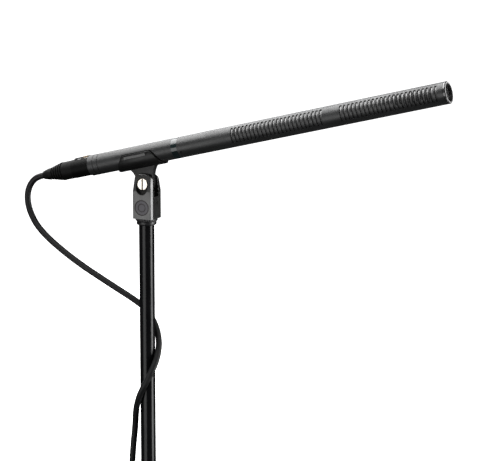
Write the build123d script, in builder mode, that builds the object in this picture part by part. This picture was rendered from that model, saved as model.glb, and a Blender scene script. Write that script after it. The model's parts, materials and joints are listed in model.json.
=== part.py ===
from build123d import *
import math
import os

os.makedirs("parts", exist_ok=True)

# Telescopic boom pole held upright, with a shotgun microphone in a tilting clamp on its tip and the
# microphone's cable wound once round the thin section. Millimetres, +Z up along the pole, +X the
# way the microphone points, -Y the side with the hinge screw's head. The origin is on the pole's
# axis, in the middle of the bare stretch of base tube that a holder grips.

# ---- driving dimensions ----
PIVOT_Z = 655.0  # hinge axis of the clamp above the origin
TILT = 13.4  # the microphone's tilt above horizontal at rest, degrees
FIT = 0.05  # radial clearance of a running fit

MIC_R = 10.5
MIC_LENGTH = 388.3
MIC_HEIGHT = 28.5  # from the hinge axis to the microphone's axis, square to it
MIC_BEHIND = 57.5  # how far the microphone's rear end lies behind the hinge, along its axis
MIC_WALL = 1.0

# along the microphone, from its rear end
GROOVES = (6.4, 11.8)
BAND_START, BAND_END = 98.7, 105.2
SET_SCREW_AT, SET_SCREW_ANGLE = 108.9, -26.0
SLOT_GROUPS = (165.8, 282.1)  # where each row of sound slots starts
SLOTS_PER_GROUP = 24
SLOT_PITCH = 4.16
SLOT_WIDTH = 2.3
SLOT_LOW, SLOT_HIGH = -36.0, 54.0  # a slot's reach below and above the microphone's side, degrees
CAP_START = MIC_LENGTH - 2.6

# the cable connector, behind the microphone's rear end
CONNECTOR_R = 9.5
NOSE_R = 7.8
SHELL_END = -20.2
BOOT_END = -58.0

TROUGH_R = 12.7
TONGUE = 7.0  # thickness of the cradle's tongue
HINGE_R = 3.0

FORK_W, FORK_D = 22.4, 20.4
FORK_BOTTOM = -35.0  # from the hinge axis
FORK_FLOOR = -12.5  # bottom of the gap between the cheeks
FORK_GAP = 4.35  # half the gap between the cheeks
STUD_R = 4.76

UPPER_R, MIDDLE_R, BASE_R = 7.8, 9.8, 11.7
HELD_R = 12.0  # the bare stretch of base tube below the grip
TUBE_WALL = 1.0
# heights from the hinge axis
UPPER_TOP, UPPER_BOTTOM = -39.0, -368.0
UPPER_LOCK = -308.0  # top of the upper twist lock
MIDDLE_BOTTOM = -630.0
LOWER_LOCK = -378.0  # top of the lower twist lock
BASE_BOTTOM = -700.0
LOCK_TO_TUBE = 14.0  # from a lock's top down to the end of the tube it is screwed to
LOCK_LENGTH = 38.0
GRIP_TOP, GRIP_BOTTOM, GRIP_R = -436.0, -606.0, 15.4

CABLE_R = 3.25
HANK_X = -28.4  # middle of the hank, beside the base tube
HANK_TOP, HANK_BOTTOM = -430.0, -556.0
PLUG_X, PLUG_Y, PLUG_TOP = -57.8, 21.8, -430.0

# ---- frames ----
ALONG = Vector(math.cos(math.radians(TILT)), 0, math.sin(math.radians(TILT)))
SQUARE = Vector(-math.sin(math.radians(TILT)), 0, math.cos(math.radians(TILT)))
HINGE = Vector(0, 0, PIVOT_Z)
MIC_REAR = HINGE + SQUARE * MIC_HEIGHT - ALONG * MIC_BEHIND
# local x points up from the microphone, local y to the screw-head side, local z to its front
MIC = Plane(origin=MIC_REAR, x_dir=SQUARE, z_dir=ALONG)
# seen from the screw-head side: local x along the microphone, local y up from it, at the hinge
SIDE = Plane(origin=HINGE, x_dir=ALONG, z_dir=Vector(0, -1, 0))
FRONT = Plane(origin=HINGE, x_dir=(1, 0, 0), z_dir=(0, -1, 0))


def save(piece, name):
    piece.part.label = name
    export_step(piece.part, f"parts/{name}.step")


def ring(plane, start, end, outer, inner=0.0):
    """A plain tube, or a disc, from start to end along a plane's normal."""
    with BuildPart() as piece:
        with BuildSketch(plane.offset(start)):
            Circle(outer)
            if inner:
                Circle(inner, mode=Mode.SUBTRACT)
        extrude(amount=end - start)
    return piece


def turned(plane, points):
    """A solid turned about a plane's normal from (height, radius) points of its half section."""
    section = Plane(origin=plane.origin, x_dir=plane.x_dir, z_dir=-plane.y_dir)
    with BuildPart() as piece:
        with BuildSketch(section):
            with BuildLine():
                Polyline(*[(radius, height) for height, radius in points], close=True)
            make_face()
        revolve(axis=Axis(plane.origin, plane.z_dir))
    return piece


POLE = Plane.XY.offset(PIVOT_Z)

# ---- microphone ----
with BuildPart() as rear_housing:
    with BuildSketch(MIC):
        Circle(MIC_R)
    extrude(amount=BAND_START - 0.05)
    chamfer(rear_housing.edges().group_by(Axis(MIC_REAR, ALONG))[0], 0.4)
    with BuildSketch(MIC):
        Circle(MIC_R - 1.2)
    extrude(amount=BAND_START, mode=Mode.SUBTRACT)
    for groove in GROOVES:
        with BuildSketch(MIC.offset(groove)):
            Circle(MIC_R + 1)
            Circle(MIC_R - 0.45, mode=Mode.SUBTRACT)
        extrude(amount=0.5, mode=Mode.SUBTRACT)
save(rear_housing, "rear_housing")

save(ring(MIC, BAND_START, BAND_END, MIC_R + 0.05, MIC_R - 1.2), "polished_band")

with BuildPart() as slotted_tube:
    with BuildSketch(MIC.offset(BAND_END + 0.05)):
        Circle(MIC_R)
        Circle(MIC_R - MIC_WALL, mode=Mode.SUBTRACT)
    extrude(amount=CAP_START - BAND_END - 0.1)
    for group in SLOT_GROUPS:
        for number in range(SLOTS_PER_GROUP):
            with BuildSketch(MIC.offset(group + number * SLOT_PITCH)):
                for middle in (90 - (SLOT_LOW + SLOT_HIGH) / 2, 270 + (SLOT_LOW + SLOT_HIGH) / 2):
                    with BuildLine():
                        reach = (SLOT_HIGH - SLOT_LOW) / 2
                        tip = 2 * MIC_R
                        corners = [
                            (tip * math.cos(math.radians(a)), tip * math.sin(math.radians(a)))
                            for a in (middle - reach, middle, middle + reach)
                        ]
                        Polyline((0, 0), *corners, close=True)
                    make_face()
                Circle(MIC_R - MIC_WALL - 0.5, mode=Mode.SUBTRACT)
            extrude(amount=SLOT_WIDTH, mode=Mode.SUBTRACT)
    screw_plane = Plane(
        origin=MIC_REAR + ALONG * SET_SCREW_AT,
        x_dir=ALONG,
        z_dir=SQUARE * math.sin(math.radians(SET_SCREW_ANGLE))
        + Vector(0, -1, 0) * math.cos(math.radians(SET_SCREW_ANGLE)),
    )
    with BuildSketch(screw_plane.offset(MIC_R - 3)):
        Circle(1.3)
    extrude(amount=5, mode=Mode.SUBTRACT)
save(slotted_tube, "slotted_tube")

with BuildPart() as set_screw:
    with BuildSketch(screw_plane.offset(MIC_R - 2.2)):
        Circle(1.25)
    extrude(amount=1.8)
    with BuildSketch(screw_plane.offset(MIC_R - 0.4)):
        RegularPolygon(0.7, 6)
    extrude(amount=-1, mode=Mode.SUBTRACT)
save(set_screw, "set_screw")

save(ring(MIC, 160, 379.5, MIC_R - MIC_WALL - 0.1, MIC_R - MIC_WALL - 0.9), "acoustic_liner")
save(ring(MIC, 130, 148, 8.0), "capsule")
save(ring(MIC, 133, 145, MIC_R - MIC_WALL, 8.0), "capsule_mount")

with BuildPart() as circuit_board:
    with BuildSketch(MIC.offset(24.5)):
        Rectangle(1.6, 15)
    extrude(amount=71)
    for place, size in ((38, 6), (52, 4), (70, 7)):
        with BuildSketch(MIC.offset(place)):
            with Locations((2.3, 0)):
                Rectangle(3, size)
        extrude(amount=size)
save(circuit_board, "circuit_board")

with BuildPart() as board_frames:
    for place in (24, 93):
        with BuildSketch(MIC.offset(place)):
            Circle(MIC_R - 1.2)
            Circle(6, mode=Mode.SUBTRACT)
            Rectangle(1.6, 15.4, mode=Mode.SUBTRACT)
        extrude(amount=3)
save(board_frames, "board_frames")

PIN_CIRCLE = 4.2
with BuildPart() as socket_insulator:
    with BuildSketch(MIC.offset(17)):
        Circle(MIC_R - 1.2)
        with PolarLocations(PIN_CIRCLE, 3, start_angle=90):
            Circle(1.2, mode=Mode.SUBTRACT)
    extrude(amount=6)
save(socket_insulator, "socket_insulator")

with BuildPart() as socket_pins:
    with BuildSketch(MIC.offset(3)):
        with PolarLocations(PIN_CIRCLE, 3, start_angle=90):
            Circle(1.2)
    extrude(amount=20.5)
save(socket_pins, "socket_pins")

save(
    turned(
        MIC.offset(CAP_START),
        [(-6, 8.4), (-6, 9.4), (0.3, 9.4), (0.3, 10.5), (1.9, 10.5), (2.6, 9.9), (2.6, 8.7), (1.1, 8.4)],
    ),
    "front_cap",
)

with BuildPart() as front_grille:
    with BuildSketch(MIC.offset(CAP_START - 1.2)):
        Circle(8.35)
        with HexLocations(0.95, 9, 9):
            Circle(0.55, mode=Mode.SUBTRACT)
    extrude(amount=0.6)
save(front_grille, "front_grille")

# ---- cable connector on the microphone ----
with BuildPart() as connector_shell:
    with BuildSketch(MIC.offset(SHELL_END)):
        Circle(CONNECTOR_R)
        Circle(NOSE_R, mode=Mode.SUBTRACT)
    extrude(amount=-0.1 - SHELL_END)
    chamfer(connector_shell.edges().filter_by(GeomType.CIRCLE).sort_by(Axis(MIC_REAR, ALONG))[-2:], 0.3)
    with BuildSketch(MIC.offset(-17.4)):
        with Locations((CONNECTOR_R, 0)):
            Rectangle(8, 7.4)
    extrude(amount=20, mode=Mode.SUBTRACT)
save(connector_shell, "connector_shell")

with BuildPart() as connector_nose:
    with BuildSketch(MIC.offset(-18)):
        Circle(NOSE_R)
    extrude(amount=33)
    with BuildSketch(MIC.offset(15)):
        with PolarLocations(PIN_CIRCLE, 3, start_angle=90):
            Circle(1.3)
    extrude(amount=-12.2, mode=Mode.SUBTRACT)
save(connector_nose, "connector_nose")

# the release latch: a ribbed plate in the shell's slot with a raised steel tab at its front
TAB_START = -6.4
with BuildPart() as connector_latch:
    with BuildSketch(SIDE.offset(-3.5)):
        with BuildLine():
            at = [(t - MIC_BEHIND, MIC_HEIGHT + r) for t, r in (
                (-17.2, 9.0), (-17.2, 9.9), (TAB_START - 0.02, 9.9), (TAB_START - 0.02, 9.0)
            )]
            Polyline(*at, close=True)
        make_face()
    extrude(amount=7)
    for rib in range(4):
        with BuildSketch(MIC.offset(-16.2 + 2.1 * rib)):
            with Locations((CONNECTOR_R + 0.65, 0)):
                Rectangle(0.9, 6)
        extrude(amount=1.0)
save(connector_latch, "connector_latch")

with BuildPart() as latch_tab:
    with BuildSketch(SIDE.offset(-3.5)):
        with BuildLine():
            at = [(t - MIC_BEHIND, MIC_HEIGHT + r) for t, r in (
                (TAB_START, 9.0), (TAB_START, 10.4), (TAB_START + 0.6, 10.9),
                (-1.2, 10.9), (-0.6, 10.4), (-0.6, 9.0),
            )]
            Polyline(*at, close=True)
        make_face()
    extrude(amount=7)
save(latch_tab, "latch_tab")

with BuildPart() as latch_spring:
    with BuildSketch(SIDE.offset(-2)):
        with BuildLine():
            foot = MIC_HEIGHT + NOSE_R + 0.05
            near, far = -15 - MIC_BEHIND, -5 - MIC_BEHIND
            ThreePointArc((near, foot), ((near + far) / 2, foot + 0.75), (far, foot))
            Line((far, foot), (far, foot + 0.3))
            ThreePointArc((far, foot + 0.3), ((near + far) / 2, foot + 1.05), (near, foot + 0.3))
            Line((near, foot + 0.3), (near, foot))
        make_face()
    extrude(amount=4)
save(latch_spring, "latch_spring")

BOOT_RIBS = [(-34.0 - 3.2 * n, 9.3 - 0.75 * n) for n in range(5)]
boot_outline = [(BOOT_END, 0.0), (BOOT_END, 4.3), (-51.0, 6.0)]
for height, radius in reversed(BOOT_RIBS):
    boot_outline += [(height - 1.7, radius - 1.0), (height - 1.4, radius), (height + 0.2, radius + 0.1),
                     (height + 0.5, radius - 0.8)]
boot_outline += [(-32.4, 9.2), (SHELL_END, 9.35), (SHELL_END, 0.0)]
save(turned(MIC, boot_outline), "connector_boot")

# ---- cradle: a snap-in trough on a tongue ----
RIB_START, RIB_PITCH, RIB_COUNT, RIB_DEEP = 45.2, 1.9, 13, 0.4
RIB_LOW, RIB_HIGH = -0.7, 1.8  # above the microphone's axis
rib_strip_length = RIB_PITCH * RIB_COUNT


def rib_band(start, length, outer, inner):
    """A band of the trough's outer face on the screw-head side, between the ribs' two heights."""
    with BuildPart() as band:
        with BuildSketch(MIC.offset(start)):
            Circle(outer)
            Circle(inner, mode=Mode.SUBTRACT)
            with Locations(((RIB_LOW + RIB_HIGH) / 2, 10)):
                Rectangle(RIB_HIGH - RIB_LOW, 20, mode=Mode.INTERSECT)
        extrude(amount=length)
    return band


rib_seat = rib_band(RIB_START - 0.1, rib_strip_length + 0.2, TROUGH_R + 1, TROUGH_R - RIB_DEEP)
with BuildPart() as rib_strip:
    add(rib_band(RIB_START, rib_strip_length, TROUGH_R - RIB_DEEP + 0.15, TROUGH_R - RIB_DEEP).part)
    for number in range(RIB_COUNT):
        place = RIB_START + (number + 0.2) * RIB_PITCH
        add(rib_band(place, 0.6 * RIB_PITCH, TROUGH_R + 0.1, TROUGH_R - RIB_DEEP).part)
save(rib_strip, "rib_strip")

def trough(outer, inner, spread):
    """A band round the microphone, cut to the cradle's outline seen from the side, or spread beyond it."""
    with BuildPart() as band:
        with BuildSketch(MIC.offset(20)):
            Circle(outer)
            Circle(inner, mode=Mode.SUBTRACT)
        extrude(amount=80)
        with BuildSketch(SIDE.offset(-20)):
            with BuildLine():
                # rear edge, upper edge, then the front edge curving down to the lip
                outline = [
                    (-25.7 - spread, 15.4),
                    (-14.0 - spread, 31.8 + spread),
                    (16.6 + 0.7 * spread, 31.8 + spread),
                    (22.3 + 0.8 * spread, 25.0 + 0.6 * spread),
                    (25.6 + 0.9 * spread, 19.0 + 0.4 * spread),
                    (28.3 + spread, 15.4),
                ]
                Polyline(*outline[:3])
                Spline(*outline[2:])
                Line(outline[-1], outline[0])
            make_face()
        extrude(amount=40, mode=Mode.INTERSECT)
    return band


# a soft pad lines the trough and shows as a thin edge all round it
PAD_R, PAD_SHOWS = MIC_R + 0.75, 0.9
save(trough(PAD_R, MIC_R + 0.05, PAD_SHOWS), "cradle_pad")

with BuildPart() as cradle:
    add(trough(TROUGH_R, PAD_R + 0.05, 0).part)
    add(rib_seat.part, mode=Mode.SUBTRACT)
    with BuildSketch(FRONT.offset(-TONGUE / 2)):
        with BuildLine():
            tilt = math.radians(TILT)
            under = [(MIC_HEIGHT - TROUGH_R + 1.0) / math.cos(tilt) + x * math.tan(tilt) for x in (-17.5, 12.5)]
            Line((-17.5, under[0]), (12.5, under[1]))
            ThreePointArc((12.5, under[1]), (9.6, 14.0), (8.6, 7.0))
            Line((8.6, 7.0), (8.8, 0.0))
            ThreePointArc((8.8, 0.0), (0.0, -8.8), (-8.8, 0.0))
            Line((-8.8, 0.0), (-10.2, 4.5))
            ThreePointArc((-10.2, 4.5), (-12.4, 9.2), (-17.5, under[0]))
        make_face()
    extrude(amount=TONGUE)
    with BuildSketch(FRONT.offset(-10)):
        Circle(HINGE_R + FIT)
    extrude(amount=20, mode=Mode.SUBTRACT)
save(cradle, "cradle")

# ---- clamp ----
RECESS_W, RECESS_TOP, RECESS_BOTTOM, RECESS_DEPTH = 12.8, 6.5, -10.6, 4.2
RECESS_MIDDLE, RECESS_H = (RECESS_TOP + RECESS_BOTTOM) / 2, RECESS_TOP - RECESS_BOTTOM
NUT_AF, NUT_T = 10.0, 2.4
BADGE_Z, BADGE_R, BADGE_DEPTH = -23.4, 7.95, 0.6
BEVEL_X, BEVEL_Y = 1.2, 3.1  # bevel of the fork's front upright edges, on its front and on its sides
CHEEK_TOP, CHEEK_FROM = 10.2, -7.0
FRONT_ROUND, BACK_ROUND = 0.8, 3.4  # rounding of the cheeks' tops, seen from the side
CHEEK_NARROWS, CHEEK_THINS = 2.8, 6.0  # over the height from CHEEK_FROM to CHEEK_TOP
EDGE_ROUND = 0.8  # of the fork's upright edges


def fork_section(height, width, depth):
    """A rectangle with its two front corners bevelled, and every corner lightly rounded."""
    with BuildSketch(POLE.offset(height)) as section:
        with BuildLine():
            x, y = width / 2, depth / 2
            Polyline(
                (x, BEVEL_Y - y), (x, y), (-x, y), (-x, BEVEL_Y - y), (BEVEL_X - x, -y), (x - BEVEL_X, -y),
                close=True,
            )
        make_face()
        fillet(section.vertices(), EDGE_ROUND)
    return section.sketch


with BuildPart() as clamp_fork:
    extrude(fork_section(FORK_BOTTOM, FORK_W, FORK_D), amount=CHEEK_FROM - FORK_BOTTOM)
    loft(
        [
            fork_section(CHEEK_FROM, FORK_W, FORK_D),
            fork_section(CHEEK_TOP, FORK_W - CHEEK_NARROWS, FORK_D - CHEEK_THINS),
        ]
    )
    with BuildSketch(FRONT.offset(-FORK_D)):
        with BuildLine():
            # the cheeks' domed tops, seen from the front, above a block wider than the fork
            half = FORK_W / 2
            Polyline((half - 0.8, 3.0), (FORK_W, 3.0), (FORK_W, FORK_BOTTOM), (-FORK_W, FORK_BOTTOM))
            Polyline((-FORK_W, FORK_BOTTOM), (-FORK_W, 3.0), (-half + 0.8, 3.0))
            ThreePointArc((-half + 0.8, 3.0), (-half + 2.3, 7.2), (-half + 5.6, 9.5))
            ThreePointArc((-half + 5.6, 9.5), (0, CHEEK_TOP), (half - 5.6, 9.5))
            ThreePointArc((half - 5.6, 9.5), (half - 2.3, 7.2), (half - 0.8, 3.0))
        make_face()
    extrude(amount=2 * FORK_D, mode=Mode.INTERSECT)
    with BuildSketch(Plane.YZ.offset(-FORK_W)):
        with BuildLine():
            # the same tops seen from the side, above a block deeper than the fork
            deep, low, high = (FORK_D - CHEEK_THINS) / 2, PIVOT_Z + FORK_BOTTOM, PIVOT_Z + CHEEK_TOP
            bend = 1 - math.sqrt(0.5)
            Polyline(
                (-deep, high - FRONT_ROUND), (-FORK_D, high - FRONT_ROUND), (-FORK_D, low),
                (FORK_D, low), (FORK_D, high - BACK_ROUND), (deep, high - BACK_ROUND),
            )
            ThreePointArc(
                (deep, high - BACK_ROUND), (deep - bend * BACK_ROUND, high - bend * BACK_ROUND),
                (deep - BACK_ROUND, high),
            )
            Line((deep - BACK_ROUND, high), (FRONT_ROUND - deep, high))
            ThreePointArc(
                (FRONT_ROUND - deep, high), (bend * FRONT_ROUND - deep, high - bend * FRONT_ROUND),
                (-deep, high - FRONT_ROUND),
            )
        make_face()
    extrude(amount=2 * FORK_W, mode=Mode.INTERSECT)
    with BuildSketch(Plane.XY.offset(PIVOT_Z + FORK_FLOOR)):
        Rectangle(FORK_W + 4, 2 * FORK_GAP)
    extrude(amount=30, mode=Mode.SUBTRACT)
    with BuildSketch(FRONT.offset(-20)):
        Circle(HINGE_R + FIT)
    extrude(amount=40, mode=Mode.SUBTRACT)
    with BuildSketch(FRONT.offset(FORK_D / 2)):
        with Locations((0, RECESS_MIDDLE)):
            SlotOverall(RECESS_H, RECESS_W, rotation=90)
    extrude(amount=-RECESS_DEPTH, mode=Mode.SUBTRACT)
    with BuildSketch(FRONT.offset(-FORK_D / 2)):
        RegularPolygon(NUT_AF / 2 + 0.05, 6, major_radius=False)
    extrude(amount=RECESS_DEPTH, mode=Mode.SUBTRACT)
    with BuildSketch(FRONT.offset(FORK_D / 2)):
        with Locations((0, BADGE_Z)):
            Circle(BADGE_R)
    extrude(amount=-BADGE_DEPTH, mode=Mode.SUBTRACT)
    with BuildSketch(Plane.XY.offset(PIVOT_Z + FORK_BOTTOM)):
        Circle(7.4)
    extrude(amount=19, mode=Mode.SUBTRACT)
save(clamp_fork, "clamp_fork")

CUP_T = 0.35
with BuildPart() as recess_cup:
    for start, thick, opening in ((0, CUP_T, HINGE_R + 0.1), (CUP_T, 1.1, 0)):
        with BuildSketch(FRONT.offset(FORK_D / 2 - RECESS_DEPTH + start)):
            with Locations((0, RECESS_MIDDLE)):
                SlotOverall(RECESS_H - 0.04, RECESS_W - 0.04, rotation=90)
                if not opening:
                    SlotOverall(RECESS_H - 2 * CUP_T, RECESS_W - 2 * CUP_T, rotation=90, mode=Mode.SUBTRACT)
            if opening:
                Circle(opening, mode=Mode.SUBTRACT)
        extrude(amount=thick)
save(recess_cup, "recess_cup")

# a plain round badge: a disc inside a dark rim, with one dark ring let into it
BADGE_RIM, BADGE_RING, RING_WIDE = BADGE_R - 0.95, 4.4, 0.9
badge_seat = FRONT.offset(FORK_D / 2 - BADGE_DEPTH)
with BuildPart() as front_badge:
    with BuildSketch(badge_seat):
        with Locations((0, BADGE_Z)):
            Circle(BADGE_RIM)
    extrude(amount=0.5)
    with BuildSketch(badge_seat.offset(0.3)):
        with Locations((0, BADGE_Z)):
            Circle(BADGE_RING)
            Circle(BADGE_RING - RING_WIDE, mode=Mode.SUBTRACT)
    extrude(amount=0.2, mode=Mode.SUBTRACT)
save(front_badge, "front_badge")

with BuildPart() as badge_rim:
    with BuildSketch(badge_seat):
        with Locations((0, BADGE_Z)):
            Circle(BADGE_R - 0.05)
            Circle(BADGE_RIM + 0.05, mode=Mode.SUBTRACT)
    extrude(amount=0.65)
    with BuildSketch(badge_seat.offset(0.32)):
        with Locations((0, BADGE_Z)):
            Circle(BADGE_RING - 0.03)
            Circle(BADGE_RING - RING_WIDE + 0.03, mode=Mode.SUBTRACT)
    extrude(amount=0.14)
save(badge_rim, "badge_rim")

SCREW_HEAD_R, SCREW_HEAD_T, SCREW_SEAT = 5.8, 2.1, FORK_D / 2 - RECESS_DEPTH + CUP_T + 0.05
with BuildPart() as hinge_screw:
    with BuildSketch(FRONT.offset(SCREW_SEAT)):
        Circle(SCREW_HEAD_R)
    extrude(amount=SCREW_HEAD_T)
    chamfer(hinge_screw.edges().sort_by(Axis.Y)[0], 0.5)
    with BuildSketch(FRONT.offset(SCREW_SEAT)):
        Circle(HINGE_R)
    extrude(amount=1.3 - FORK_D / 2 - SCREW_SEAT)
    with BuildSketch(FRONT.offset(SCREW_SEAT + SCREW_HEAD_T)):
        Rectangle(1.5, 20)
    extrude(amount=-1.5, mode=Mode.SUBTRACT)
save(hinge_screw, "hinge_screw")

with BuildPart() as hinge_nut:
    with BuildSketch(FRONT.offset(RECESS_DEPTH - FORK_D / 2 - 0.05)):
        RegularPolygon(NUT_AF / 2, 6, major_radius=False)
        Circle(HINGE_R + 0.03, mode=Mode.SUBTRACT)
    extrude(amount=-NUT_T)
save(hinge_nut, "hinge_nut")

with BuildPart() as friction_washers:
    for start in (-FORK_GAP, TONGUE / 2 + FIT):
        with BuildSketch(FRONT.offset(start)):
            Circle(7.4)
            Circle(HINGE_R + 0.1, mode=Mode.SUBTRACT)
        extrude(amount=FORK_GAP - TONGUE / 2 - FIT)
save(friction_washers, "friction_washers")

save(ring(POLE, FORK_BOTTOM, FORK_BOTTOM + 18.8, 7.4, STUD_R + 0.03), "threaded_insert")

with BuildPart() as lock_ring:
    with BuildSketch(POLE.offset(FORK_BOTTOM - 2.1)):
        Circle(11.2)
        Circle(STUD_R + 0.05, mode=Mode.SUBTRACT)
        with PolarLocations(11.45, 36):
            Circle(0.55, mode=Mode.SUBTRACT)
    extrude(amount=2.0)
save(lock_ring, "lock_ring")

save(
    turned(
        POLE,
        [(-37.2, STUD_R), (-37.2, 9.2), (-37.5, 9.8), (-38.1, 10.05), (-40.3, 10.05), (-41.1, 9.7),
         (-41.5, 9.0), (-41.5, UPPER_R), (UPPER_TOP, UPPER_R), (UPPER_TOP, STUD_R)],
    ),
    "tip_collar",
)

with BuildPart() as tip_stud:
    with BuildSketch(POLE.offset(-60)):
        Circle(UPPER_R - TUBE_WALL)
    extrude(amount=60 + UPPER_TOP)
    with BuildSketch(POLE.offset(UPPER_TOP)):
        Circle(STUD_R)
    extrude(amount=-18 - UPPER_TOP)
    chamfer(tip_stud.edges().sort_by(Axis.Z)[-1], 0.6)
save(tip_stud, "tip_stud")

# ---- pole sections ----
BUSH = 26.0
MIDDLE_TOP, BASE_TOP = UPPER_LOCK - LOCK_TO_TUBE, LOWER_LOCK - LOCK_TO_TUBE
save(ring(POLE, UPPER_BOTTOM, UPPER_TOP, UPPER_R, UPPER_R - TUBE_WALL), "upper_tube")
save(ring(POLE, MIDDLE_BOTTOM, MIDDLE_TOP, MIDDLE_R, MIDDLE_R - TUBE_WALL), "middle_tube")
save(
    turned(
        POLE,
        [(BASE_BOTTOM, BASE_R - TUBE_WALL), (BASE_BOTTOM, HELD_R), (GRIP_BOTTOM, HELD_R),
         (GRIP_BOTTOM, BASE_R), (BASE_TOP, BASE_R), (BASE_TOP, BASE_R - TUBE_WALL)],
    ),
    "base_tube",
)
save(ring(POLE, UPPER_BOTTOM, UPPER_BOTTOM + BUSH, MIDDLE_R - TUBE_WALL - FIT, UPPER_R), "upper_bush")
save(ring(POLE, MIDDLE_BOTTOM, MIDDLE_BOTTOM + BUSH, BASE_R - TUBE_WALL - FIT, MIDDLE_R), "middle_bush")


def twist_lock(name, top, inner_r, outer_r, flutes):
    """A collet in the outer tube's mouth, a threaded sleeve on the tube, and the collar over both."""
    mouth = top - LOCK_TO_TUBE
    sleeve_r = outer_r + 1.6
    collar_r = outer_r + 3.4
    cone = turned(
        Plane.XY.offset(PIVOT_Z + mouth),
        [(-18, inner_r + FIT), (-18, outer_r - TUBE_WALL), (0, outer_r - TUBE_WALL), (0, outer_r),
         (2, outer_r), (11, outer_r - 0.9), (11, inner_r + FIT)],
    )
    with BuildPart() as collet:
        add(cone.part)
        with BuildSketch(Plane.XY.offset(PIVOT_Z + mouth - 8)):
            for turn in (45, 135):
                Rectangle(1.2, 4 * outer_r, rotation=turn)
        extrude(amount=30, mode=Mode.SUBTRACT)
    save(collet, f"{name}_collet")
    save(ring(Plane.XY.offset(PIVOT_Z + mouth), -22, 0, sleeve_r, outer_r), f"{name}_sleeve")
    low = LOCK_TO_TUBE - LOCK_LENGTH
    shell = turned(
        Plane.XY.offset(PIVOT_Z + mouth),
        [(low, sleeve_r + 0.08), (low, collar_r - 1.0), (low + 1.0, collar_r), (LOCK_TO_TUBE - 5, collar_r),
         (LOCK_TO_TUBE - 1, collar_r - 1.6), (LOCK_TO_TUBE, collar_r - 2.6), (LOCK_TO_TUBE, inner_r + 0.4),
         (LOCK_TO_TUBE - 2.6, inner_r + 0.4), (LOCK_TO_TUBE - 2.6, outer_r - 0.75), (2.2, outer_r + 0.15),
         (0.2, outer_r + 0.15), (0.2, sleeve_r + 0.08)],
    )
    with BuildPart() as collar:
        add(shell.part)
        with BuildSketch(Plane.XY.offset(PIVOT_Z + mouth + low + 4)):
            with PolarLocations(collar_r + 0.9, flutes):
                Circle(1.5)
        extrude(amount=LOCK_LENGTH - 13, mode=Mode.SUBTRACT)
    save(collar, f"{name}_collar")


twist_lock("upper", UPPER_LOCK, UPPER_R, MIDDLE_R, 16)
twist_lock("lower", LOWER_LOCK, MIDDLE_R, BASE_R, 18)

save(
    turned(
        POLE,
        [(GRIP_BOTTOM + 4, BASE_R), (GRIP_BOTTOM + 4, GRIP_R - 1.2), (GRIP_BOTTOM + 5.2, GRIP_R),
         (GRIP_TOP - 5.2, GRIP_R), (GRIP_TOP - 4, GRIP_R - 1.2), (GRIP_TOP - 4, BASE_R)],
    ),
    "grip",
)

with BuildPart() as grip_rings:
    for start in (GRIP_BOTTOM, GRIP_TOP - 4):
        with BuildSketch(POLE.offset(start)):
            Circle(14.2)
            Circle(BASE_R, mode=Mode.SUBTRACT)
        extrude(amount=4)
save(grip_rings, "grip_rings")

save(
    turned(
        POLE.offset(BASE_BOTTOM),
        [
            (22, 0), (22, BASE_R - TUBE_WALL), (0, BASE_R - TUBE_WALL),
            (0, BASE_R - 0.1), (-3, BASE_R - 0.1), (-3, 0),
        ],
    ),
    "end_plug",
)
save(
    turned(
        POLE.offset(BASE_BOTTOM - 3),
        [(0, 0), (0, BASE_R - 0.1), (-7.5, BASE_R - 0.1), (-9, BASE_R - 1.6), (-9, 0)],
    ),
    "foot",
)

# ---- cable ----
# Heights in the route are from the hinge axis. The cable leaves the boot along the microphone's
# axis, turns down, comes back behind the pole, goes once round the thin section and runs down
# beside the locks into a tied hank.
CABLE_EXIT = MIC_REAR - HINGE + ALONG * BOOT_END
SLACK = [
    tuple(CABLE_EXIT),
    tuple(CABLE_EXIT - ALONG * 7.7),
    (-133.0, 0.0, -5.1),
    (-137.6, -0.2, -11.4),
    (-140.0, -0.6, -19.4),
    (-139.4, -1.4, -29.4),
    (-134.7, -2.4, -41.5),
    (-125.6, -3.3, -54.0),
    (-108.5, -4.0, -67.8),
    (-79.0, -3.2, -87.0),
    (-43.0, 1.6, -107.4),
    (-19.5, 7.2, -121.6),
    (-7.4, 10.2, -130.4),
]
WRAP_R, WRAP_AT, WRAP_TURN, WRAP_Z, WRAP_STEP = 12.4, 77.8, 45.0, -145.5, 17.2
WRAP = [
    (
        WRAP_R * math.cos(math.radians(WRAP_AT - WRAP_TURN * k)),
        WRAP_R * math.sin(math.radians(WRAP_AT - WRAP_TURN * k)),
        WRAP_Z - WRAP_STEP * k,
    )
    for k in range(6)
]
# the two lengths meet on the straight run between them
SEAM = tuple(Vector(*SLACK[-1]) + (Vector(*WRAP[0]) - Vector(*SLACK[-1])) * 0.49)
RUN_DOWN = [
    (-13.9, -2.0, -251.0),
    (-17.4, -0.8, -275.0),
    (-19.9, 0.4, -300.0),
    (-20.7, 0.2, -328.0),
    (-21.6, -0.4, -356.0),
    (-22.6, 1.0, -382.0),
    (-22.6, 4.8, -400.0),
    (-21.9, 10.0, -416.0),
    (-21.9, 10.0, HANK_TOP),
]
TAIL = [
    (-34.6, -15.6, HANK_TOP),
    (-34.6, -15.6, -421.5),
    (-36.4, -12.8, -413.4),
    (-39.6, -7.5, -407.2),
    (-43.9, -0.6, -403.9),
    (-48.5, 6.8, -403.9),
    (-52.7, 13.7, -407.2),
    (-56.0, 19.0, -413.4),
    (PLUG_X, PLUG_Y, -421.5),
    (PLUG_X, PLUG_Y, PLUG_TOP),
]


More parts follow.
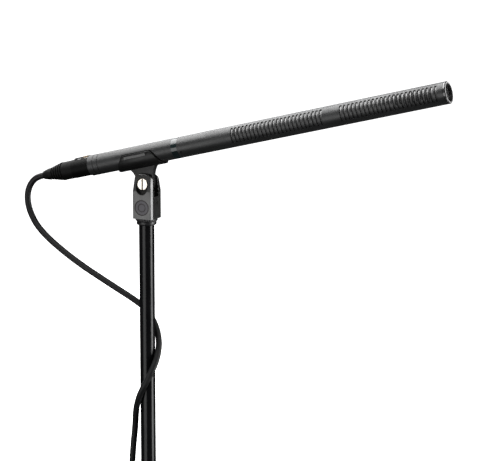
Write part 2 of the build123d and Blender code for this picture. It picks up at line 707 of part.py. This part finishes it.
def tube(name, route):
    """A cable from straight runs and tangent arcs, each arc as large as its two runs allow."""
    points = [Vector(x, y, PIVOT_Z + z) for x, y, z in route]
    runs = [b - a for a, b in zip(points, points[1:])]
    radii = [
        0.45 * min(a.length, b.length) / math.tan(math.radians(a.get_angle(b)) / 2)
        for a, b in zip(runs, runs[1:])
    ]
    with BuildPart() as piece:
        with BuildLine() as path:
            FilletPolyline(*points, radius=radii)
        with BuildSketch(Plane(origin=points[0], z_dir=runs[0])):
            Circle(CABLE_R)
        sweep()
    length = path.wire().length
    share = piece.part.volume / (math.pi * CABLE_R**2 * length)
    print(name, "length", round(length, 1), "volume over section times length", round(share, 4))
    print("  radii", [round(r, 1) for r in radii], "runs", [round(r.length, 1) for r in runs])
    save(piece, name)


tube("cable_slack", SLACK + [SEAM])
tube("cable_wrap", [SEAM] + WRAP + RUN_DOWN)
tube("cable_tail", TAIL)

# the hank: two rounded lobes drawn together at the tie
HANK_DEPTH, HANK_W, WAIST = 19.6, 46.4, 13.6
LOBE = 38.0  # height of a lobe before it narrows
hank_middle = (HANK_TOP + HANK_BOTTOM) / 2
HANK_SIDE = Plane(origin=(HANK_X - HANK_DEPTH / 2, 0, PIVOT_Z), x_dir=(0, 1, 0), z_dir=(1, 0, 0))
with BuildPart() as cable_hank:
    with BuildSketch(HANK_SIDE):
        for end, way in ((HANK_TOP, -1), (HANK_BOTTOM, 1)):
            with BuildLine():
                Polyline(
                    (-HANK_W / 2, end), (HANK_W / 2, end), (HANK_W / 2, end + way * LOBE),
                    (WAIST / 2, hank_middle - way * 9), (WAIST / 2, hank_middle),
                    (-WAIST / 2, hank_middle), (-WAIST / 2, hank_middle - way * 9),
                    (-HANK_W / 2, end + way * LOBE), close=True,
                )
            make_face()
    extrude(amount=HANK_DEPTH)
    corners = cable_hank.edges().filter_by(Axis.X)
    fillet(corners.group_by(Axis.Z)[0] + corners.group_by(Axis.Z)[-1], 2)
save(cable_hank, "cable_hank")

TIE_H, TIE_T = 14.0, 1.3
with BuildPart() as hank_tie:
    with BuildSketch(POLE.offset(hank_middle - TIE_H / 2)):
        with Locations((HANK_X, 0)):
            RectangleRounded(HANK_DEPTH + 0.4 + 2 * TIE_T, WAIST + 0.4 + 2 * TIE_T, 3)
            RectangleRounded(HANK_DEPTH + 0.4, WAIST + 0.4, 0.5, mode=Mode.SUBTRACT)
    extrude(amount=TIE_H)
save(hank_tie, "hank_tie")

# a hook-and-loop strap that holds the cable to the middle section between the locks
STRAP_TOP, STRAP_H, STRAP_T, STRAP_X = -353.0, 17.0, 1.4, -21.5
with BuildPart() as cable_strap:
    with BuildSketch(POLE.offset(STRAP_TOP - STRAP_H)):
        with BuildSketch(mode=Mode.PRIVATE) as around:
            Circle(MIDDLE_R + 0.02)
            with Locations((STRAP_X, 0)):
                Circle(CABLE_R + 1.2)
            make_hull(mode=Mode.REPLACE)
        add(around.sketch)
        offset(amount=STRAP_T)
        add(around.sketch, mode=Mode.SUBTRACT)
    extrude(amount=STRAP_H)
save(cable_strap, "cable_strap")

# ---- the plug on the cable's far end, mouth down ----
PLUG = Plane(origin=(PLUG_X, PLUG_Y, PIVOT_Z + PLUG_TOP), x_dir=(1, 0, 0), z_dir=(0, 0, -1))
PLUG_BOOT, PLUG_LENGTH, PLUG_BORE = 36.0, 84.0, 8.0
plug_outline = [(0, 0), (0, 4.3), (6, 5.6)]
for number in range(5):
    start, radius = 8.0 + 3.2 * number, 6.0 + 0.7 * number
    plug_outline += [(start, radius - 0.9), (start + 0.3, radius), (start + 1.9, radius + 0.1),
                     (start + 2.2, radius - 0.8)]
plug_outline += [(25, 9.0), (PLUG_BOOT, 9.3), (PLUG_BOOT, 0)]
save(turned(PLUG, plug_outline), "plug_boot")
save(
    turned(
        PLUG,
        [(PLUG_BOOT, 0), (PLUG_BOOT, 9.5), (PLUG_LENGTH - 20, 9.5), (PLUG_LENGTH - 19.5, 9.1),
         (PLUG_LENGTH - 0.4, 9.1), (PLUG_LENGTH, 8.8), (PLUG_LENGTH, PLUG_BORE),
         (PLUG_LENGTH - 22, PLUG_BORE), (PLUG_LENGTH - 22, 0)],
    ),
    "plug_shell",
)
with BuildPart() as plug_insulator:
    with BuildSketch(PLUG.offset(PLUG_LENGTH - 22)):
        Circle(PLUG_BORE)
        with PolarLocations(PIN_CIRCLE, 3, start_angle=90):
            Circle(1.2, mode=Mode.SUBTRACT)
    extrude(amount=6)
save(plug_insulator, "plug_insulator")
with BuildPart() as plug_pins:
    with BuildSketch(PLUG.offset(PLUG_LENGTH - 21.9)):
        with PolarLocations(PIN_CIRCLE, 3, start_angle=90):
            Circle(1.2)
    extrude(amount=19.9)
save(plug_pins, "plug_pins")
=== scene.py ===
"""Looks of the boom pole: camera, cable, materials, fine detail and studio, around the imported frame."""

import json
import math

import bpy
from mathutils import Euler, Matrix, Vector


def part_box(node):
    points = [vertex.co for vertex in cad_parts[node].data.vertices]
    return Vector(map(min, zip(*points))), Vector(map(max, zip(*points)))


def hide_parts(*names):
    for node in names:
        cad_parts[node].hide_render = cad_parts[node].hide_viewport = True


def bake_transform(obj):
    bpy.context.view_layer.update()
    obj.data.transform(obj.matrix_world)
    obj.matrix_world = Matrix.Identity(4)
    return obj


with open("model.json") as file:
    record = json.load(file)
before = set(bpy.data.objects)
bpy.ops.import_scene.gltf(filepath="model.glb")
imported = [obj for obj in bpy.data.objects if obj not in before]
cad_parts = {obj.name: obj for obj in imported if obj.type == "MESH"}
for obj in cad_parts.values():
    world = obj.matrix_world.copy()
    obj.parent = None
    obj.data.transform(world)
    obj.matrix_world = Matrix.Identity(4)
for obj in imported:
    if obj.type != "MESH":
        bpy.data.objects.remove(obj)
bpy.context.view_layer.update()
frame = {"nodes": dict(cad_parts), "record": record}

MM = 0.001
PIVOT = Vector((0, 0, 0.655))  # the clamp's hinge axis
TILT = math.radians(13.4)  # the microphone's tilt at rest
ALONG = Vector((math.cos(TILT), 0, math.sin(TILT)))
SQUARE = Vector((-math.sin(TILT), 0, math.cos(TILT)))
MIC_HEIGHT, MIC_BEHIND = 28.5, 57.5  # of the microphone's rear face, from the hinge axis, in millimetres
MIC_REAR = PIVOT + SQUARE * MIC_HEIGHT * MM - ALONG * MIC_BEHIND * MM


# ---- camera ----
CAMERA_FROM_PIVOT = Vector((0.80647, -1.46577, 0.24488))
CAMERA_TURN = (25.261, 9.932, 0.155)  # azimuth, elevation and roll in degrees
CAMERA_LENS, SENSOR_WIDTH = 121.41, 36.0


def add_camera():
    """The camera stands to the screw-head side, a little above the microphone."""
    azimuth, elevation, roll = (math.radians(angle) for angle in CAMERA_TURN)
    data = bpy.data.cameras.new("camera")
    data.sensor_width = SENSOR_WIDTH
    data.sensor_fit = "HORIZONTAL"
    data.lens = CAMERA_LENS
    data.clip_start, data.clip_end = 0.1, 60.0
    camera = bpy.data.objects.new("camera", data)
    bpy.context.collection.objects.link(camera)
    camera.location = PIVOT + CAMERA_FROM_PIVOT
    turn = Euler((math.pi / 2 - elevation, 0, azimuth), "XYZ").to_matrix()
    camera.rotation_euler = (turn @ Matrix.Rotation(roll, 3, "Z")).to_euler()
    bpy.context.scene.camera = camera


add_camera()


# ---- material nodes ----
class Shader:
    """A Principled material and short ways to add procedural nodes to it."""

    def __init__(self, name, colour, roughness, metallic=0.0, specular=0.5):
        self.material = bpy.data.materials.new(name)
        self.material.use_nodes = True
        self.nodes = self.material.node_tree.nodes
        self.links = self.material.node_tree.links
        self.main = self.nodes["Principled BSDF"]
        self.main.inputs["Base Color"].default_value = (*colour, 1)
        self.main.inputs["Roughness"].default_value = roughness
        self.main.inputs["Metallic"].default_value = metallic
        self.main.inputs["Specular IOR Level"].default_value = specular
        self.place = self.nodes.new("ShaderNodeTexCoord").outputs["Object"]
        self.height = None

    def node(self, kind, **values):
        made = self.nodes.new("ShaderNode" + kind)
        for key, value in values.items():
            setattr(made, key, value)
        return made

    def scaled(self, stretch=(1, 1, 1), turn=(0, 0, 0)):
        """The object's coordinates, turned and then stretched along each axis."""
        mapping = self.node("Mapping")
        self.links.new(self.place, mapping.inputs["Vector"])
        mapping.inputs["Rotation"].default_value = turn
        mapping.inputs["Scale"].default_value = stretch
        return mapping.outputs["Vector"]

    def noise(self, scale, detail=3.0, stretch=(1, 1, 1), turn=(0, 0, 0)):
        made = self.node("TexNoise")
        made.inputs["Scale"].default_value = scale
        made.inputs["Detail"].default_value = detail
        self.links.new(self.scaled(stretch, turn), made.inputs["Vector"])
        return made.outputs["Fac"]

    def spread(self, value, low, high, from_low=0.3, from_high=0.7):
        """A texture's value brought to the range low to high."""
        made = self.node("MapRange")
        self.links.new(value, made.inputs["Value"])
        ends = {"From Min": from_low, "From Max": from_high, "To Min": low, "To Max": high}
        for socket, number in ends.items():
            made.inputs[socket].default_value = number
        return made.outputs["Result"]

    def rough(self, value, low, high):
        self.links.new(self.spread(value, low, high), self.main.inputs["Roughness"])

    def tint(self, value, dark, light, from_low=0.3, from_high=0.7):
        """Base colour between dark and light as the value rises."""
        mix = self.node("Mix", data_type="RGBA")
        self.links.new(self.spread(value, 0, 1, from_low, from_high), mix.inputs["Factor"])
        mix.inputs["A"].default_value = (*dark, 1)
        mix.inputs["B"].default_value = (*light, 1)
        self.links.new(mix.outputs["Result"], self.main.inputs["Base Color"])

    def bump(self, value, depth_mm, strength=1.0):
        """Adds relief of that depth; calls add up."""
        made = self.node("Bump")
        made.inputs["Strength"].default_value = strength
        made.inputs["Distance"].default_value = depth_mm * MM
        self.links.new(value, made.inputs["Height"])
        if self.height is not None:
            self.links.new(self.height, made.inputs["Normal"])
        self.height = made.outputs["Normal"]
        self.links.new(self.height, self.main.inputs["Normal"])


ALONG_POLE = (1, 1, 0.03)  # stretches a texture into fine lines along the pole
TO_MIC = (0, TILT, 0)  # turns the object's axes onto the microphone's
MIC_AXIS = MIC_REAR.dot(SQUARE)  # height of the microphone's axis along those axes


def powder_coat(name, colour, roughness, grain=2600.0, depth=0.012, specular=0.5):
    """Fine-grained satin black coat on metal."""
    made = Shader(name, colour, roughness, specular=specular)
    grains = made.noise(grain, 2.0)
    made.bump(grains, depth, 0.25)
    clouds = made.noise(45.0, 4.0)
    made.rough(clouds, roughness - 0.05, roughness + 0.06)
    made.tint(clouds, tuple(c * 0.85 for c in colour), tuple(c * 1.15 for c in colour))
    return made.material


def anodised(name, colour, roughness, stretch=ALONG_POLE, specular=0.35):
    """Drawn black tube with faint lines along it."""
    made = Shader(name, colour, roughness, specular=specular)
    lines = made.noise(900.0, 3.0, stretch)
    made.rough(lines, roughness - 0.06, roughness + 0.08)
    made.bump(made.noise(1500.0, 2.0), 0.006, 0.4)
    made.tint(made.noise(60.0, 3.0), tuple(c * 0.8 for c in colour), tuple(c * 1.2 for c in colour))
    return made.material


def moulded(name, colour, roughness, grain=1500.0, depth=0.02, specular=0.5):
    """Moulded plastic with a fine spark-eroded grain."""
    made = Shader(name, colour, roughness, specular=specular)
    cells = made.node("TexVoronoi")
    cells.inputs["Scale"].default_value = grain
    made.links.new(made.place, cells.inputs["Vector"])
    made.bump(cells.outputs["Distance"], depth, 0.2)
    clouds = made.noise(120.0, 4.0)
    made.rough(clouds, roughness - 0.05, roughness + 0.06)
    made.tint(clouds, tuple(c * 0.9 for c in colour), tuple(c * 1.1 for c in colour))
    return made.material


def rubber(name, colour, roughness, depth=0.03, specular=0.4):
    """Soft black rubber, slightly mottled."""
    made = Shader(name, colour, roughness, specular=specular)
    made.bump(made.noise(800.0, 3.0), depth, 0.5)
    clouds = made.noise(70.0, 4.0)
    made.rough(clouds, roughness - 0.08, roughness + 0.08)
    made.tint(clouds, tuple(c * 0.8 for c in colour), tuple(c * 1.25 for c in colour))
    return made.material


def foam(name, colour):
    """Closed-cell foam with small open pores."""
    made = Shader(name, colour, 0.85, specular=0.25)
    cells = made.node("TexVoronoi")
    cells.inputs["Scale"].default_value = 900.0
    made.links.new(made.place, cells.inputs["Vector"])
    made.bump(cells.outputs["Distance"], 0.25, 0.8)
    made.bump(made.noise(220.0, 3.0), 0.2, 0.5)
    pores, skin = tuple(c * 0.5 for c in colour), tuple(c * 1.3 for c in colour)
    made.tint(cells.outputs["Distance"], pores, skin, 0.1, 0.6)
    return made.material


def bright_metal(name, colour, roughness, stretch=(1, 1, 1), scale=700.0):
    """Bare metal with turning or drawing marks."""
    made = Shader(name, colour, roughness, metallic=1.0)
    marks = made.noise(scale, 3.0, stretch)
    made.rough(marks, roughness * 0.7, roughness * 1.35)
    made.bump(marks, 0.01, 0.5)
    made.tint(made.noise(150.0, 3.0), tuple(c * 0.82 for c in colour), colour)
    return made.material


def screw_steel(name, colour, face, floor):
    """Bright screw head from face outwards along -Y, with painted shade in its slot: dark brown from floor
    inwards.
    """
    made = Shader(name, colour, 0.4, metallic=1.0)
    marks = made.noise(1200.0, 3.0)
    made.rough(marks, 0.3, 0.5)
    made.bump(marks, 0.01, 0.3)
    depth = made.node("SeparateXYZ")
    made.links.new(made.place, depth.inputs["Vector"])
    # painted shade: the slot's floor is coloured dark brown by its depth, standing in for the shade inside
    # the slot
    made.tint(depth.outputs["Y"], (0.12, 0.07, 0.04), colour, floor, face)
    return made.material


def acoustic_mesh_painted_light(name, dark, light):
    """Fine metal mesh with painted light and shade: paler on its upper side and darker below, as light from
    above falls into the slots.
    """
    made = Shader(name, light, 0.5, metallic=0.4)
    made.bump(made.noise(1800.0, 2.0), 0.02, 0.3)
    made.rough(made.noise(300.0, 3.0), 0.42, 0.6)
    height = made.node("SeparateXYZ")
    made.links.new(made.scaled(turn=TO_MIC), height.inputs["Vector"])
    # painted light and shade: the mesh is dark below the microphone's axis and pale from 5 mm above it
    made.tint(height.outputs["Z"], dark, light, MIC_AXIS, MIC_AXIS + 5.0 * MM)
    return made.material


def webbing(name, colour):
    """Woven band with a fine square weave."""
    made = Shader(name, colour, 0.9, specular=0.2)
    made.main.inputs["Sheen Weight"].default_value = 0.3
    rows = made.node("TexWave", bands_direction="Z")
    rows.inputs["Scale"].default_value = 420.0
    made.links.new(made.place, rows.inputs["Vector"])
    ribs = made.node("TexWave", bands_direction="Y")
    ribs.inputs["Scale"].default_value = 380.0
    made.links.new(made.place, ribs.inputs["Vector"])
    made.bump(rows.outputs["Fac"], 0.15, 0.8)
    made.bump(ribs.outputs["Fac"], 0.12, 0.8)
    made.tint(rows.outputs["Fac"], tuple(c * 0.6 for c in colour), tuple(c * 1.3 for c in colour), 0.0, 1.0)
    return made.material


def cable_jacket(name):
    """Black jacket with faint lengthwise lay marks and dust."""
    made = Shader(name, (0.008, 0.008, 0.0085), 0.5, specular=0.25)
    made.bump(made.noise(500.0, 2.0), 0.04, 0.5)
    dust = made.noise(60.0, 5.0)
    made.rough(dust, 0.4, 0.6)
    made.tint(dust, (0.006, 0.006, 0.0065), (0.012, 0.012, 0.0125))
    return made.material


# ---- cable ----
CABLE_R = 3.25 * MM
# the route's points, in millimetres from the hinge axis
BOOT_END = 58.0  # of the connector's boot, behind the microphone's rear face
EXIT = MIC_REAR - ALONG * BOOT_END * MM
SLACK = [
    (-133.0, 0.0, -5.1),
    (-137.6, -0.2, -11.4),
    (-140.0, -0.6, -19.4),
    (-139.4, -1.4, -29.4),
    (-134.7, -2.4, -41.5),
    (-125.6, -3.3, -54.0),
    (-108.5, -4.0, -67.8),
    (-79.0, -3.2, -87.0),
    (-43.0, 1.6, -107.4),
    (-19.5, 7.2, -121.6),
    (-7.4, 10.2, -130.4),
]
WRAP_R, WRAP_AT, WRAP_TURN, WRAP_Z, WRAP_STEP = 12.4, 77.8, 45.0, -145.5, 17.2
WRAP_COUNT = 6
RUN_DOWN = [
    (-13.9, -2.0, -251.0),
    (-17.4, -0.8, -275.0),
    (-19.9, 0.4, -300.0),
    (-20.7, 0.2, -328.0),
    (-21.6, -0.4, -356.0),
    (-22.6, 1.0, -382.0),
    (-22.6, 4.8, -400.0),
    (-21.9, 10.0, -416.0),
    (-21.9, 10.0, -430.0),
]
TAIL = [
    (-34.6, -15.6, -430.0),
    (-34.6, -15.6, -421.5),
    (-36.4, -12.8, -413.4),
    (-39.6, -7.5, -407.2),
    (-43.9, -0.6, -403.9),
    (-48.5, 6.8, -403.9),
    (-52.7, 13.7, -407.2),
    (-56.0, 19.0, -413.4),
    (-57.8, 21.8, -421.5),
    (-57.8, 21.8, -430.0),
]
HANK_X, HANK_MIDDLE, LOBE_OFF, LOBE_R = -28.4, -493.0, 40.0, 19.75
STRANDS, LAYER = 6, 6.5  # strands through the tie, and the distance from one layer to the next


def from_hinge(points):
    return [PIVOT + Vector(point) * MM for point in points]


def wrap_points():
    turns = [math.radians(WRAP_AT - WRAP_TURN * k) for k in range(WRAP_COUNT)]
    return from_hinge(
        [(WRAP_R * math.cos(a), WRAP_R * math.sin(a), WRAP_Z - WRAP_STEP * k) for k, a in enumerate(turns)]
    )


def hank_points():
    """The strands through the tie, joined by round lobes, each pair of strands a layer further out."""
    reach = LOBE_R / math.cos(math.radians(18))
    points = []
    for strand in range(STRANDS):
        side = 1 if strand % 2 == 0 else -1  # +Y going down, -Y coming up
        layer = HANK_X + LAYER - LAYER * (strand // 2)
        near = [(12.4, 24.0), (4.6, 12.0), (3.35, 0.0), (4.6, -12.0), (12.4, -24.0)]
        points += [(layer, side * y, HANK_MIDDLE + side * z) for y, z in near]
        if strand == STRANDS - 1:
            break
        for step in range(6):
            turn = math.radians(36 * step)
            shift = 0.0 if side > 0 else -LAYER * min(1.0, step / 2.5)
            points.append(
                (
                    layer + shift,
                    side * reach * math.cos(turn),
                    HANK_MIDDLE - side * (LOBE_OFF + reach * math.sin(turn)),
                )
            )
    return points


def curve_line(name, points):
    """Points along one NURBS spline that has the given control points."""
    data = bpy.data.curves.new(name, "CURVE")
    data.dimensions = "3D"
    data.resolution_u = 10
    spline = data.splines.new("NURBS")
    spline.points.add(len(points) - 1)
    for point, place in zip(spline.points, points):
        point.co = (*place, 1)
    spline.order_u = 3
    spline.use_endpoint_u = True
    guide = bpy.data.objects.new(name, data)
    bpy.context.collection.objects.link(guide)
    mesh = bpy.data.meshes.new_from_object(guide)
    line = [vertex.co.copy() for vertex in mesh.vertices]
    bpy.data.objects.remove(guide)
    bpy.data.meshes.remove(mesh)
    return line


def round_tube(name, line, radius, sides=20):
    """A closed tube of one radius along a line, its cross section carried on without twist."""
    vertices, faces = [], []
    heading = (line[1] - line[0]).normalized()
    across = heading.orthogonal().normalized()
    for index, point in enumerate(line):
        ahead = line[min(index + 1, len(line) - 1)] - line[max(index - 1, 0)]
        ahead.normalize()
        across = (across - ahead * across.dot(ahead)).normalized()
        other = ahead.cross(across)
        for side in range(sides):
            turn = 2 * math.pi * side / sides
            vertices.append(point + (across * math.cos(turn) + other * math.sin(turn)) * radius)
    for ring in range(len(line) - 1):
        for side in range(sides):
            a, b = ring * sides + side, ring * sides + (side + 1) % sides
            faces.append((a, b, b + sides, a + sides))
    faces.append(tuple(range(sides))[::-1])
    last = (len(line) - 1) * sides
    faces.append(tuple(last + side for side in range(sides)))
    return add_mesh(name, vertices, faces, smooth=True)


def add_mesh(name, vertices, faces, smooth=False):
    mesh = bpy.data.meshes.new(name)
    mesh.from_pydata([tuple(v) for v in vertices], [], faces)
    mesh.update()
    mesh.polygons.foreach_set("use_smooth", [smooth and len(p.vertices) == 4 for p in mesh.polygons])
    piece = bpy.data.objects.new(name, mesh)
    bpy.context.collection.objects.link(piece)
    return piece


def add_cable():
    jacket = cable_jacket("cable_black")
    slack = [EXIT, EXIT - ALONG * 7.7 * MM] + from_hinge(SLACK)
    wrap = wrap_points()
    seam = slack[-1].lerp(wrap[0], 0.49)
    line = curve_line("slack_line", slack + [seam])
    piece = round_tube("cable_loop", line, CABLE_R)
    piece.data.materials.append(jacket)
    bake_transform(piece)
    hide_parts("cable_slack")
    rest = [seam] + wrap + from_hinge(RUN_DOWN + hank_points() + TAIL)
    line = curve_line("wound_line", rest)
    piece = round_tube("cable_wound", line, CABLE_R)
    piece.data.materials.append(jacket)
    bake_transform(piece)
    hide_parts("cable_wrap", "cable_hank", "cable_tail")


add_cable()

# ---- softened edges on the moulded and turned pieces ----
SOFT_EDGES = {
    "cradle": 0.45, "clamp_fork": 0.15, "connector_latch": 0.15, "latch_tab": 0.2, "lock_ring": 0.15,
    "upper_collar": 0.25, "lower_collar": 0.25, "hinge_screw": 0.12,
}  # node and width in millimetres
WELD_GAP, SHARP_ANGLE = 0.002, 35  # millimetres, degrees


def soften_edges():
    for name, width in SOFT_EDGES.items():
        piece = frame["nodes"][name]
        weld = piece.modifiers.new("weld", "WELD")
        weld.merge_threshold = WELD_GAP * MM
        bevel = piece.modifiers.new("bevel", "BEVEL")
        bevel.width = width * MM
        bevel.segments = 2
        bevel.limit_method = "ANGLE"
        bevel.angle_limit = math.radians(SHARP_ANGLE)
        bevel.harden_normals = False


soften_edges()

# ---- materials of the CAD pieces ----
# the dark end of this range is painted shade in the screw's slot
SCREW_FACE, SLOT_FLOOR = -8.3 * MM, -7.9 * MM  # Y at which the screw is all bright, and all dark
FINISHES = {
    "mic_black": powder_coat("mic_black", (0.022, 0.0225, 0.023), 0.42),
    "band": moulded("band", (0.012, 0.02, 0.021), 0.14, grain=3000.0, depth=0.001),
    # the liner's dark and pale colours are painted shade and painted light on the mesh inside the slots
    "liner": acoustic_mesh_painted_light("liner", (0.04, 0.04, 0.04), (0.22, 0.22, 0.22)),
    "capsule_metal": bright_metal("capsule_metal", (0.6, 0.6, 0.6), 0.3),
    "inner_plastic": moulded("inner_plastic", (0.03, 0.03, 0.03), 0.5),
    "board": moulded("board", (0.02, 0.12, 0.05), 0.3),
    "gold_pins": bright_metal("gold_pins", (0.83, 0.62, 0.28), 0.2),
    "grille": bright_metal("grille", (0.12, 0.12, 0.12), 0.4),
    "connector_metal": powder_coat("connector_metal", (0.004, 0.004, 0.004), 0.5, specular=0.08),
    "latch_metal": bright_metal("latch_metal", (0.3, 0.235, 0.16), 0.45),
    "spring_steel": bright_metal("spring_steel", (0.6, 0.6, 0.6), 0.3),
    "boot_rubber": rubber("boot_rubber", (0.006, 0.006, 0.006), 0.55, specular=0.12),
    "cap_black": powder_coat("cap_black", (0.03, 0.03, 0.03), 0.27, specular=0.8),
    "latch_plate": moulded("latch_plate", (0.02, 0.02, 0.02), 0.5),
    "rib_grey": moulded("rib_grey", (0.11, 0.11, 0.11), 0.4),
    # rim_dark: the dark ring round the badge's edge is painted shade, standing in for the shade of the gap
    # round the badge
    "rim_dark": moulded("rim_dark", (0.01, 0.006, 0.006), 0.6),
    "pad_rubber": rubber("pad_rubber", (0.005, 0.005, 0.005), 0.8, specular=0.1),
    # cup_black: the near-black matte cup in the screw's recess is painted shade of the recess
    "cup_black": moulded("cup_black", (0.004, 0.004, 0.004), 0.7),
    "cradle_plastic": moulded("cradle_plastic", (0.006, 0.006, 0.006), 0.4, specular=0.32),
    "fork_plastic": moulded("fork_plastic", (0.009, 0.009, 0.0085), 0.3, specular=0.8),
    "badge": moulded("badge", (0.06, 0.056, 0.066), 0.4, grain=3000.0, depth=0.005),
    "screw_steel": screw_steel("screw_steel", (0.86, 0.81, 0.72), SCREW_FACE, SLOT_FLOOR),
    "washer_nylon": moulded("washer_nylon", (0.05, 0.05, 0.05), 0.5),
    "insert_brass": bright_metal("insert_brass", (0.75, 0.58, 0.3), 0.3),
    "black_ring": anodised("black_ring", (0.014, 0.014, 0.015), 0.35, (1, 1, 1)),
    "pole_black": anodised("pole_black", (0.004, 0.004, 0.0045), 0.21, specular=0.2),
    "bush_plastic": moulded("bush_plastic", (0.06, 0.06, 0.06), 0.5),
    "lock_plastic": moulded("lock_plastic", (0.02, 0.02, 0.02), 0.45),
    "grip_foam": foam("grip_foam", (0.02, 0.02, 0.02)),
    "foot_rubber": rubber("foot_rubber", (0.02, 0.02, 0.02), 0.7),
    "webbing": webbing("webbing", (0.02, 0.02, 0.02)),
}
for subpart in frame["record"]["subparts"]:
    node = frame["nodes"][subpart["node"]]
    finish = FINISHES.get(subpart["material_slot"])
    if finish is None:
        continue
    if not node.data.materials:
        node.data.materials.append(finish)
    for held in node.material_slots:
        held.material = finish


# ---- studio ----
def softbox(name, heading, distance, width, height, radiance):
    """A soft light that faces the clamp from that heading, width across and height up its face."""
    data = bpy.data.lights.new(name, "AREA")
    data.shape = "RECTANGLE"
    data.size, data.size_y = width, height
    data.energy = radiance * math.pi * width * height
    box = bpy.data.objects.new(name, data)
    bpy.context.collection.objects.link(box)
    away = Vector(heading).normalized()
    box.location = PIVOT + away * distance
    box.rotation_euler = away.to_track_quat("Z", "Y").to_euler()
    box.visible_camera = False


def add_studio():
    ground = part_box("foot")[0].z
    size = 30.0
    floor = add_mesh(
        "floor",
        [(-size, -size, ground), (size, -size, ground), (size, size, ground), (-size, size, ground)],
        [(0, 1, 2, 3)],
    )
    paper = Shader("floor_paper", (0.9, 0.9, 0.9), 0.9, specular=0.1)
    paper.tint(paper.noise(3.0, 2.0), (0.88, 0.88, 0.88), (0.91, 0.91, 0.91))
    paper.main.inputs["Emission Color"].default_value = (1, 1, 1, 1)
    away = paper.node("VectorMath", operation="LENGTH")
    paper.links.new(paper.place, away.inputs[0])
    glow = paper.spread(away.outputs["Value"], 0.55, 1.2, 0.3, 1.2)
    paper.links.new(glow, paper.main.inputs["Emission Strength"])
    floor.data.materials.append(paper.material)
    floor.visible_glossy = floor.visible_diffuse = floor.visible_shadow = False

    softbox("left", (-0.52, 0.0, 0.854), 3.0, 4.2, 1.5, 9.6)
    softbox("top", (0.36, -0.43, 0.82), 2.5, 1.0, 1.0, 6.0)
    softbox("front", (-0.259, -0.966, -0.22), 2.2, 1.6, 1.3, 3.0)
    softbox("right", (0.978, 0.208, -0.1), 2.0, 0.9, 1.5, 11.0)
    softbox("back", (-0.7, 0.65, 0.3), 3.0, 2.4, 1.6, 3.0)
    softbox("far_right", (0.47, 0.87, 0.19), 2.4, 0.7, 0.5, 4.5)
    world = bpy.data.worlds.new("studio")
    bpy.context.scene.world = world
    world.use_nodes = True
    nodes, links = world.node_tree.nodes, world.node_tree.links
    backdrop = nodes["Background"]
    backdrop.inputs["Color"].default_value = (1, 1, 1, 1)
    dim = nodes.new("ShaderNodeBackground")
    dim.inputs["Color"].default_value = (0.9, 0.95, 1, 1)
    dim.inputs["Strength"].default_value = 0.02
    seen, mix = nodes.new("ShaderNodeLightPath"), nodes.new("ShaderNodeMixShader")
    links.new(seen.outputs["Is Camera Ray"], mix.inputs["Fac"])
    links.new(dim.outputs["Background"], mix.inputs[1])
    links.new(backdrop.outputs["Background"], mix.inputs[2])
    links.new(mix.outputs["Shader"], nodes["World Output"].inputs["Surface"])
    bpy.context.scene.view_settings.view_transform = "Standard"


add_studio()
